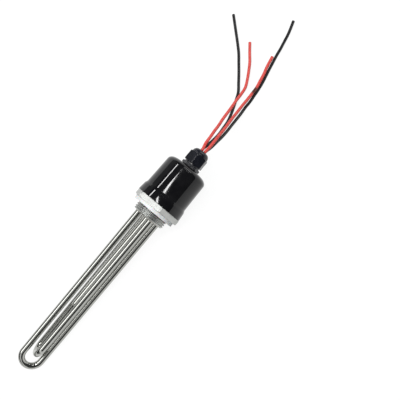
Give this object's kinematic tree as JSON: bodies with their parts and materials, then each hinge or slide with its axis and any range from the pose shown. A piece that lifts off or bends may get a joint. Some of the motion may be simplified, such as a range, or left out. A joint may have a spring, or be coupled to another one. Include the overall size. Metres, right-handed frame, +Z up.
{
  "type": "screw plug immersion heater",
  "caption": "Screw plug immersion heater: two crossed U tubes and a sensor pocket in a threaded hexagon plug, with a black cap, cable gland and free red and black leads.",
  "frame": {"origin": "centre of the tank thread at the seat of the washer", "axes": "+X along the heater towards the leads, +Z up from the surface that it lies on; the heater's own axis leans 4.4 degrees, with the cap higher than the tube ends"},
  "size_m": [0.4264, 0.1119, 0.0486],
  "materials": {
    "stainless": "satin drawn tube",
    "plug_steel": "turned and milled",
    "terminal_metal": "tinned",
    "ceramic": "unglazed ceramic",
    "washer_white": "smooth white silicone",
    "cap_black": "gloss moulded",
    "gland_black": "satin moulded nylon",
    "seal_black": "soft rubber",
    "wire_red": "smooth silicone",
    "wire_black": "smooth silicone"
  },
  "bodies": {
    "root": {"plug_body": "plug_steel", "sealing_washer": "washer_white", "heating_tube_long": "stainless", "heating_tube_short": "stainless", "sensor_pocket": "stainless", "insulators_long": "ceramic", "insulators_short": "ceramic", "studs_long": "terminal_metal", "studs_short": "terminal_metal", "lower_stud_nuts": "terminal_metal", "upper_stud_nuts": "terminal_metal", "red_lug_a": "terminal_metal", "red_lug_b": "terminal_metal", "black_lug_a": "terminal_metal", "black_lug_b": "terminal_metal", "cap": "cap_black", "cap_seal": "seal_black", "gland_ring": "seal_black", "gland_bush": "seal_black", "gland_body": "gland_black", "gland_locknut": "gland_black", "gland_nut": "gland_black", "red_lead_a": "wire_red", "red_lead_b": "wire_red", "red_wire_a": "wire_red", "red_wire_b": "wire_red", "black_lead_a": "wire_black", "black_lead_b": "wire_black", "black_wire_a": "wire_black", "black_wire_b": "wire_black"}
  },
  "joints": []
}
